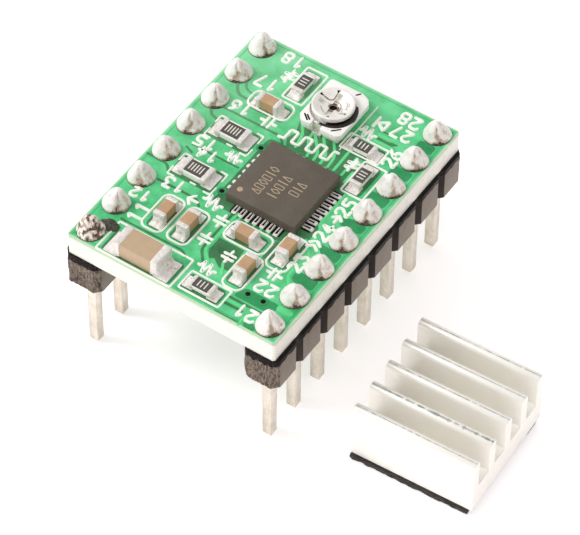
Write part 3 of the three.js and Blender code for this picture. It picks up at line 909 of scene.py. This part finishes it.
def header_insulator(node):
    """The moulded strip: sides painted pale as a sheen, dark grooves between its blocks, rough ends."""
    bm = soften(cad_shape(node), 0.045, 2)
    bmesh.ops.triangulate(bm, faces=[f for f in bm.faces if len(f.verts) > 4])
    bm.normal_update()
    for face in bm.faces:
        across, along, _ = (abs(v) for v in face.normal)
        outer = abs(face.calc_center_median().y) > 9.6 and along > 0.3
        # Flat outer sides take the pale painted sheen, grooves the dark nylon, and the ends the torn look.
        face.material_index = 2 if outer else (1 if along > 0.45 and across < 0.85 else 0)
    piece(node + "_finished", bm, [PAINTED_SHEEN_PLASTIC, GROOVE, BROKEN], BOARD, [node], 32)


def header_break(build, x, end, seed):
    """The torn face at one end of a strip: ribbed upwards, undercut below the board, ragged underneath."""
    columns, rows = 34, 26
    more_left, more_right = (noise.noise(Vector((seed, k, 0))) * 0.1 for k in (1, 2))
    rings = []
    for j in range(rows + 1):
        z = -2.5 + 2.48 * j / rows
        foot = max(0.0, (-1.95 - z) / 0.55)
        left, right = 1.2 - 0.45 * foot**1.5 + more_left, 1.2 - 0.3 * foot**1.5 + more_right
        front, back = [], []
        for i in range(columns + 1):
            u = -left + (left + right) * i / columns
            ribs = noise.noise(Vector((u * 7, z * 1.3, seed))) * 0.05
            ribs += noise.noise(Vector((u * 16, z * 9, seed))) * 0.03
            tear = noise.noise(Vector((u * 1.6, z * 1.6, seed + 9))) * 0.1
            rim = max(0.0, min(1.0, (z + 0.62 + 0.3 * noise.noise(Vector((u * 3, seed, 4)))) / 0.12))
            depth = 10.03 + ribs + tear - 0.16 * rim - max(0.0, abs(u) - 0.88)
            front.append((x + u, end * depth, z))
            back.append((x + u, end * 9.45, z))
        rings.append(front + back[::-1])
    build.loft(rings)


def pin_and_joint_pieces():
    """Pins, solder joints and header strips of both rows, and a dark line round each land, part flux and
    part painted contact shadow.
    """
    for side, x, first in (("left", -ROW_X, 1), ("right", ROW_X, 21)):
        for i, y in enumerate(PIN_Y):
            softened(f"pin_{side}_{i + 1}", 0.035, TIN)
            solder_joint(f"solder_{side}_{i + 1}", x, y, first + i, first + i == 1)
        header_insulator(f"header_insulator_{side}")
        breaks = Build()
        for end in (-1, 1):
            header_break(breaks, x, end, first + end)
        piece(f"header_breaks_{side}", breaks, [BROKEN], smooth=50)
    rings = Build()
    for x in (-ROW_X, ROW_X):
        for y in PIN_Y:
            # Painted contact shadow with flux: each ring is set a little towards the front right, so it
            # shows there.
            profile = [(0.89, TOP - 0.01), (0.88, TOP + 0.012), (0.8, TOP + 0.02), (0.8, TOP - 0.01)]
            rings.turned(profile, 40, 0, x + 0.015, y - 0.025, closed=True)
    piece("pin_lands", rings, [FLUX_AND_SHADE])


def flux_piece():
    """A smear of burnt flux between the front left joint and the input capacitor."""
    build = Build(-5.66, -7.98, TOP)
    rings = []
    for r, h in ((0.42, 0.0), (0.38, 0.1), (0.28, 0.2), (0.12, 0.26), (0.02, 0.27)):
        ring = []
        for a in circle(28):
            p = Vector((1.5 * r * math.cos(a), 1.05 * r * math.sin(a), h))
            lump = noise.noise(p * 4) * 0.12
            ring.append((p.x * (1 + lump * 2), p.y * (1 + lump * 2), h + (lump * 0.4 if h else 0)))
        rings.append(ring)
    build.loft(rings)
    piece("flux_smear", build, [FLUX_AND_SHADE])


# ------------------------------------------------------------------ chip


# Outlines of the chip's marks, then its rows: place, place of the first mark, and the marks.
MARK_SHAPES = {
    "box": [(-0.3, -0.13), (0.3, -0.13), (0.3, 0.13), (-0.3, 0.13)],
    "diamond": [(-0.32, 0.0), (0.0, -0.15), (0.32, 0.0), (0.0, 0.15)],
    "wedge": [(-0.3, 0.0), (0.3, -0.15), (0.3, 0.15)],
}
MARK_ROWS = [
    (-1.04, -1.35, ("wedge", "box", "diamond", "box", "bar", "diamond")),
    (-0.04, -1.15, ("bar", "diamond", "box", "bar", "wedge")),
    (0.96, -0.3, ("box", "bar", "wedge")),
]


def chip_marks():
    """Generic rows of open boxes, diamonds, wedges and bars, and the dot that shows the first pin."""
    marks = Build(CHIP["x"], CHIP["y"], CHIP["top"])
    for x, first, row in MARK_ROWS:
        for i, kind in enumerate(row):
            y = first + 0.4 * i
            if kind == "bar":
                marks.ribbon([(x - 0.32, y), (x + 0.32, y)], 0.1, -0.01, 0.008)
            else:
                outline = [(x + u, y + v) for u, v in MARK_SHAPES[kind]]
                marks.ribbon(eased(outline, 0.05, True), 0.08, -0.01, 0.008, closed=True)
    marks.turned([(0.19, -0.01), (0.18, 0.006)], 24, 0, -1.86, -1.8)
    piece("chip_marks", marks, [MARK])


def chip_pieces():
    """The mould, its marks, seven lands on each side, and painted shade with flux on the board between the
    lands on the front and right.
    """
    mould = soften(cad_shape("driver_chip_mould"), 0.06, 3)
    piece("driver_chip_mould_finished", mould, [MOULD], BOARD, ["driver_chip_mould"])
    chip_marks()
    lands = Build()
    for turn in (0, 90, 180, 270):
        for i in range(7):
            chip_land(lands, turn, (i - 3) * 0.5)
    piece("chip_lands", lands, [LAND_TIN, DARK])
    # Painted shade: dark strips under the front and right lands, part the chip's shadow and part flux.
    gaps = Build()
    for turn in (0, 90):
        gaps.place = placed(CHIP["x"], CHIP["y"], TOP, turn)
        strip = rectangle(-1.78, 1.78, -CHIP["half"] - 0.62, -CHIP["half"] + 0.1, 0.1)
        gaps.prism(strip, 0.0, 0.03 + 0.001 * turn / 90)
    piece("chip_land_shade_and_flux", gaps, [DARK])


def chip_land(build, turn, along):
    """One land at the chip's foot. In front and on the right it is a bright raised rim of solder, solid
    outside, round a hollow painted dark as shade. Behind and on the left it is short and plain."""
    build.place = placed(CHIP["x"], CHIP["y"], TOP, turn)
    inner, outer = -CHIP["half"] + 0.04, -CHIP["half"] - 0.66 - 0.04 * math.sin(along * 9 + turn)
    if turn > 90:
        build.prism(rectangle(along - 0.13, along + 0.13, outer + 0.2, inner, 0.06), 0.0, 0.09, 0, 0.02)
        return

    def tapered(near, far, end):
        return [(along - near, inner), (along - far, end), (along + far, end), (along + near, inner)]

    build.prism(rectangle(along - 0.16, along + 0.16, outer, inner, 0.08), 0.0, 0.05, 0)
    build.ribbon(eased(tapered(0.07, 0.12, outer + 0.08), 0.06), 0.11, 0.0, 0.1, 0)
    # Painted shade in the hollow inside the rim.
    build.prism(tapered(0.035, 0.07, outer + 0.2), 0.0, 0.062, 1)


# ------------------------------------------------------------------ small parts


def section(half_wide, low, high, radius, steps=4):
    """A rounded upright cross-section, as sideways and upward pairs."""
    radius = min(radius, half_wide * 0.9, (high - low) * 0.45)
    return rectangle(-half_wide, half_wide, low, high, radius, steps)


def along_x(x, outline):
    """A cross-section stood up at a place along X."""
    return [(x, u, v) for u, v in outline]


def end_cap(build, sign, size, seed, wavy):
    """The plated end: an uneven inner edge, softly rounded outside."""
    length, width, high, cap = size
    inner_side = [(cap, -0.03), (cap - 0.03, 0.0), (cap * 0.5, 0.012)]
    outer_side = [(0.1, 0.012), (0.03, -0.015), (0.0, -0.07)]
    rings = []
    for inward, proud in inner_side + outer_side:
        x = sign * (length / 2 - inward)
        ring = along_x(x, section(width / 2 + proud, -min(proud, 0.0), high + proud, 0.09, 5))
        if inward > cap * 0.9:
            ring = [(px + wavy * noise.noise(Vector((seed, py * 3, pz * 3))), py, pz) for px, py, pz in ring]
        rings.append(shake(ring, 0.012, 0.25, seed))
    build.loft(rings, 1)


def small_part(name):
    """A chip capacitor or resistor: its ceramic body and its two plated ends."""
    x, y, turn = SMALL_PARTS[name]
    length, width, high, cap = size_of(name)
    build = Build(x, y, TOP, turn)
    seed = len(name) * 7 + x * 3 + y
    resistor = name.startswith("resistor")
    proud = 0.03
    inner = length / 2 - cap * 0.6
    body = section(width / 2 - proud, proud, high - proud, 0.03 if resistor else 0.05)
    build.loft([along_x(s, body) for s in (-inner, -inner * 0.5, 0.0, inner * 0.5, inner)], 0)
    for sign in (-1, 1):
        end_cap(build, sign, size_of(name), seed + sign, 0.02 if resistor else 0.06)
    bulk = "bulk" in name
    if resistor:
        looks = [WHITE, END_METAL, GLAZE, GLAZE_MARK]
        resistor_top(build, length, high)
    else:
        looks = [TAN_GREY if bulk else TAN, CRUMPLED if bulk else END_METAL]
    piece(name + "_finished", build, looks, BOARD, [name], 40)


def resistor_top(build, length, high):
    """The dark glaze over the film and a generic row of bars on it."""
    sense = length > 1.8
    u, v = (0.63, 0.49) if sense else (0.54, 0.36)
    shift = -0.02
    glaze = rectangle(-u, u, shift - v, shift + v, 0.04)
    build.prism(glaze, high - 0.05, high + 0.01, 2, 0.012)
    count, tall = (5, 0.52) if sense else (3, 0.42)
    for i in range(count):
        bar = (i - (count - 1) / 2) * (0.2 if sense else 0.24)
        path = [(bar, shift - tall / 2), (bar, shift + tall / 2)]
        build.ribbon(path, 0.1, high, high + 0.018, 3)


# Share of the land's reach, height and width of the solder that climbs from it.
FILLET_STEPS = [(-0.1, 0.8, 0.92), (0.0, 0.72, 0.94), (0.12, 0.42, 0.96), (0.3, 0.22, 0.97),
                (0.55, 0.12, 0.94), (0.8, 0.08, 0.86), (0.93, 0.045, 0.7)]


def lands_and_fillets():
    """Tinned lands beyond each small part's ends and the solder that climbs from them."""
    lands, fillets = Build(), Build()
    for name, (x, y, turn) in SMALL_PARTS.items():
        length, width, high, _ = size_of(name)
        lands.place = fillets.place = placed(x, y, TOP, turn)
        reach = 0.68 if "bulk" in name else 0.42
        for sign in (-1, 1):
            inner, outer = sorted((sign * (length / 2 - 0.3), sign * (length / 2 + reach)))
            pad = rectangle(inner, outer, -width / 2 - 0.04, width / 2 + 0.04, 0.06)
            lands.prism(pad, 0, 0.035, 0, 0.01)
            seed = x * 5 + y * 3 + sign
            rings = []
            for share, rise, narrow in FILLET_STEPS:
                px = sign * (length / 2 + share * reach)
                wide, tall = width / 2 * narrow, min(high, 0.75) * rise
                arc = [math.pi * k / 14 for k in range(15)]
                ring = [(px, wide * math.cos(a), 0.02 + tall * math.sin(a) ** 0.5) for a in arc]
                rings.append(shake(ring, 0.06, 0.2, seed))
            fillets.loft(rings)
    for face in fillets.bm.faces:
        fleck = noise.noise(face.calc_center_median() * 4.5)
        face.material_index = 1 if fleck > 0.4 else 0
    piece("part_lands", lands, [FILLET])
    piece("part_fillets", fillets, [FILLET, SOLDER_PALE], smooth=60)


# ------------------------------------------------------------------ trimmer


# Radius and height of the rotor's bowl; then the lines and marks in it, as radius and angle pairs.
DISH = ((0.0, 1.06), (0.62, 1.1), (0.95, 1.3), (1.22, 1.42))
SLOT_LINES = [
    [(1.1, 163), (0.84, 158), (0.62, 146), (0.56, 134), (0.62, 120), (0.84, 110), (1.08, 105)],
    [(1.1, -17), (0.84, -22), (0.66, -30)],
]
SLOT_TIPS = [[(1.16, 160), (1.13, 169), (0.92, 162)], [(1.16, 101), (1.12, 111), (0.9, 107)],
             [(1.14, -20), (1.12, -12), (0.95, -17)], [(1.14, -78), (1.12, -70), (0.95, -74)]]
SWIRLS = [[(0.47, a) for a in range(-30, 130, 10)], [(0.84, a) for a in range(10, 60, 8)],
          [(0.74, a) for a in range(-150, -95, 8)], [(0.95, a) for a in range(18, 50, 8)]]


def on_dish(radius, angle, lift=0.0):
    """A point just above or below the rotor's bowl."""
    for (r0, z0), (r1, z1) in zip(DISH, DISH[1:]):
        if radius <= r1:
            high = z0 + (z1 - z0) * (radius - r0) / (r1 - r0)
            break
    return (*polar(radius, math.radians(angle)), high + lift)


def dish_line(build, stations, width):
    """A thin line that follows the bowl."""
    rings = []
    points = [Vector(on_dish(r, a)) for r, a in stations]
    last = len(points) - 1
    up = Vector((0, 0, 0.012))
    for i, p in enumerate(points):
        way = (points[min(i + 1, last)] - points[max(i - 1, 0)]).normalized()
        side = Vector((-way.y, way.x, 0)).normalized() * width / 2 * (0.4 if i in (0, last) else 1.0)
        rings.append([p - side - up, p + side - up, p + side + up, p - side + up])
    build.loft(rings, 1)


def rotor_marks():
    """Dirt and shade in the rotor's bowl: the ends of the slot, fine turning lines and the dark bore."""
    build = Build(TRIM["axis_x"], TRIM["axis_y"], TOP)
    build.turned([(0.25, 0.8), (0.25, 0.92)], 24)
    build.turned([(0.33, 1.0), (0.33, 1.072), (0.25, 1.075), (0.25, 1.0)], 32, 1, closed=True)
    # Painted shade: brown along the slot arms.
    for line in SLOT_LINES:
        dish_line(build, line, 0.09)
    for line in SWIRLS:
        dish_line(build, line, 0.035)
    # Painted shade: dark wedges at the slot ends.
    for tip in SLOT_TIPS:
        build.loft([[on_dish(r, a, lift) for r, a in tip] for lift in (-0.03, 0.014)])
    piece("trimmer_rotor_marks", build, [DARK, TARNISH_AND_SHADE], "trimmer_rotor")


def trimmer_crescent():
    """A dark crescent on the plate beside the rotor, on its right and front: painted shade under the rotor's
    rim, in the carbon track's colour.
    """
    outer = [(1.5 + 0.14 * math.sin(math.pi * k / 20), -92 + 6.6 * k) for k in range(21)]
    ring = outer + [(1.36, a) for _, a in outer[::-1]]
    build = Build(TRIM["axis_x"], TRIM["axis_y"], TRIM["plate"])
    # Painted shade, flat on the plate, where the well would open wider.
    build.prism([polar(r, math.radians(a)) for r, a in ring], -0.05, 0.006)
    piece("trimmer_well_shade", build, [CARBON])


def trimmer_pieces():
    """The trimmer's own parts, scratches on its plate, and the marks on its rotor."""
    softened("trimmer_base", 0.045, WHITE)
    for part in ("wiper_terminal", "end_terminal_left", "end_terminal_right"):
        softened("trimmer_" + part, 0.03, STEEL)
    softened("trimmer_track", 0.01, CARBON, segments=1)
    softened("trimmer_rotor", 0.025, ROTOR, "trimmer_rotor", smooth=40)
    marks = Build()
    strokes = [[(1.42, 4.88), (1.8, 5.25)], [(-0.68, 5.12), (-0.3, 4.8)], [(-0.5, 5.14), (-0.2, 4.9)],
               [(1.05, 8.12), (1.2, 8.32)]]
    for path in strokes:
        marks.ribbon(path, 0.13, TRIM["plate"] - 0.01, TRIM["plate"] + 0.006)
    piece("trimmer_marks", marks, [DARK])
    rotor_marks()
    trimmer_crescent()


# ------------------------------------------------------------------ heatsink


def heatsink_pieces():
    """The extrusion, a line of burrs along each sawn fin top, and the pad."""
    softened("heatsink", 0.045, ALUMINIUM, "heatsink")
    half = SINK["half"]
    step = (2 * half - SINK["fin"]) / (SINK["fins"] - 1)
    burrs = Build(SINK["x"], SINK["y"], FLOOR, SINK["turn"])
    for i, wide in enumerate((0.9, 2.6, 1.1, 1.0, 1.1)):
        y = -half + i * step + SINK["fin"] / 2
        rings = []
        for k in range(121):
            x = -half + 0.03 + (2 * half - 0.06) * k / 120
            rough = noise.noise(Vector((x * 4, i * 7.3, 0))) + 0.6 * noise.noise(Vector((x * 13, i, 3)))
            size = 0.026 + 0.02 * max(-0.6, rough)
            across, up = size * wide * 1.4, size * 0.8
            middle = SINK["top"] - 0.012
            rings.append([(x, y + across * math.cos(a), middle + up * math.sin(a)) for a in circle(6)])
        burrs.loft(rings)
    piece("heatsink_burrs", burrs, [BURR], "heatsink")
    pad_piece()


def pad_piece():
    """The adhesive pad: ragged sides where it was cut, a little short of one corner."""
    build = Build(SINK["x"], SINK["y"], FLOOR, SINK["turn"])
    outline = []
    corners = [(-4.1, -4.13), (3.8, -4.08), (3.9, 3.95), (-4.0, 3.98)]
    for a, b in zip(corners, corners[1:] + corners[:1]):
        outline += [(a[0] + (b[0] - a[0]) * k / 70, a[1] + (b[1] - a[1]) * k / 70) for k in range(70)]
    rings = []
    levels = ((0.0, -0.03), (0.08, 0.02), (0.2, 0.04), (0.32, 0.02), (0.45, 0.05), (0.55, 0.0), (0.6, -0.05))
    for z, bulge in levels:
        ring = []
        for x, y in outline:
            torn = noise.noise(Vector((x * 2.2, y * 2.2, z * 5))) * 0.07
            torn += noise.noise(Vector((x * 7, y * 7, z * 9))) * 0.035
            scale = 1 + (bulge + torn) / 4
            ring.append((x * scale, y * scale, z))
        rings.append(ring)
    build.loft(rings)
    pad = piece("heatsink_pad_finished", build, [FOAM], "heatsink", ["heatsink_pad"], 50)


# ------------------------------------------------------------------ stage


def stage():
    """The white floor under the part. It glows a little, so that it runs into the white backdrop."""
    bm = bmesh.new()
    bmesh.ops.create_grid(bm, x_segments=8, y_segments=8, size=3.0)
    mesh = bpy.data.meshes.new("floor")
    bm.to_mesh(mesh)
    bm.free()
    look = Look("floor_paper", (0.9, 0.86, 0.87, 1), 0.7, 0.0, Specular_IOR_Level=0.2)
    look.layer(look.noise(40.0), 0.3, 0.7, 1.0, (0.89, 0.85, 0.86, 1))
    look.set("Emission Color", (1.0, 0.985, 0.98, 1))
    look.set("Emission Strength", FLOOR_GLOW)
    mesh.materials.append(look.mat)
    floor = bpy.data.objects.new("floor", mesh)
    floor.location = (0, 0, (FLOOR - 0.02) * MM)
    bpy.context.scene.collection.objects.link(floor)


def disk_light(name, direction, distance, size, power, colour=(1, 1, 1)):
    """A round lamp that looks at the origin. Distance and size are in metres."""
    data = bpy.data.lights.new(name, "AREA")
    data.shape = "DISK"
    data.size = size
    data.energy = power
    data.color = colour
    lamp = bpy.data.objects.new(name, data)
    way = Vector(direction).normalized()
    lamp.location = way * distance
    lamp.rotation_mode = "QUATERNION"
    lamp.rotation_quaternion = way.to_track_quat("Z", "Y")
    bpy.context.scene.collection.objects.link(lamp)


def lights():
    """A lit sky, bright towards the upper left, behind a white backdrop, and two lamps."""
    world = bpy.data.worlds.new("studio")
    bpy.context.scene.world = world
    world.use_nodes = True
    tree = world.node_tree
    bright_side = Vector((-0.8, -0.1, 0.6)).normalized()
    where = new_node(tree, "TexCoord").outputs["Generated"]
    towards = new_node(tree, "VectorMath", {0: where, 1: bright_side}, operation="DOT_PRODUCT")
    share = new_node(tree, "MapRange", {"Value": towards.outputs["Value"], "From Min": -1.0})
    ramp = new_node(tree, "ValToRGB", {"Fac": share.outputs["Result"]})
    dim, bright = ramp.color_ramp.elements
    dim.position, dim.color = 0.25, (0.34, 0.325, 0.315, 1)
    bright.position, bright.color = 0.62, (0.8, 0.79, 0.785, 1)
    seen = new_node(tree, "LightPath").outputs["Is Camera Ray"]
    backdrop = {"Factor": seen, 6: ramp.outputs["Color"], 7: (0.97, 0.97, 0.97, 1)}
    mixed = new_node(tree, "Mix", backdrop, data_type="RGBA").outputs[2]
    feed(tree, tree.nodes["Background"].inputs["Color"], mixed)
    disk_light("key", (-0.85, -0.35, 0.9), 0.6, 0.26, KEY_WATTS)
    disk_light("fill", (0.3, -0.9, 0.6), 0.8, 0.7, FILL_WATTS, (1.0, 0.985, 0.97))


def camera():
    """A long lens at the right of the board's front, from well above."""
    azimuth, elevation, roll = math.radians(33.8), math.radians(50.28), math.radians(0.46)
    flat = math.cos(elevation)
    back = Vector((math.sin(azimuth) * flat, -math.cos(azimuth) * flat, math.sin(elevation)))
    level = Vector((math.cos(azimuth), math.sin(azimuth), 0))
    up = back.cross(level)
    right = level * math.cos(roll) + up * math.sin(roll)
    up = back.cross(right)
    data = bpy.data.cameras.new("camera")
    data.sensor_width, data.lens = 36.0, 218.09
    data.clip_start, data.clip_end = 0.005, 20.0
    cam = bpy.data.objects.new("camera", data)
    turn = Matrix((right, up, back)).transposed().to_4x4()
    aim, distance = Vector((4.88, -4.65, TOP)), 204.1
    cam.matrix_world = Matrix.Translation((aim + back * distance) * MM) @ turn
    bpy.context.scene.collection.objects.link(cam)
    bpy.context.scene.camera = cam


def carried_over():
    """CAD nodes that stay as they are get their own finished looks."""
    looks = {"circuit_board": MASK, "driver_chip_thermal_pad": COPPER, "driver_chip_die": SILICON}
    for node, look in looks.items():
        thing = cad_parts[node]
        thing.data.materials.clear()
        thing.data.materials.append(look)


camera()
stage()
lights()
carried_over()
copper_pieces()
via_pieces()
printing_pieces()
pin_and_joint_pieces()
flux_piece()
chip_pieces()
for part in SMALL_PARTS:
    small_part(part)
lands_and_fillets()
trimmer_pieces()
heatsink_pieces()
bpy.context.scene.view_settings.view_transform = "Standard"
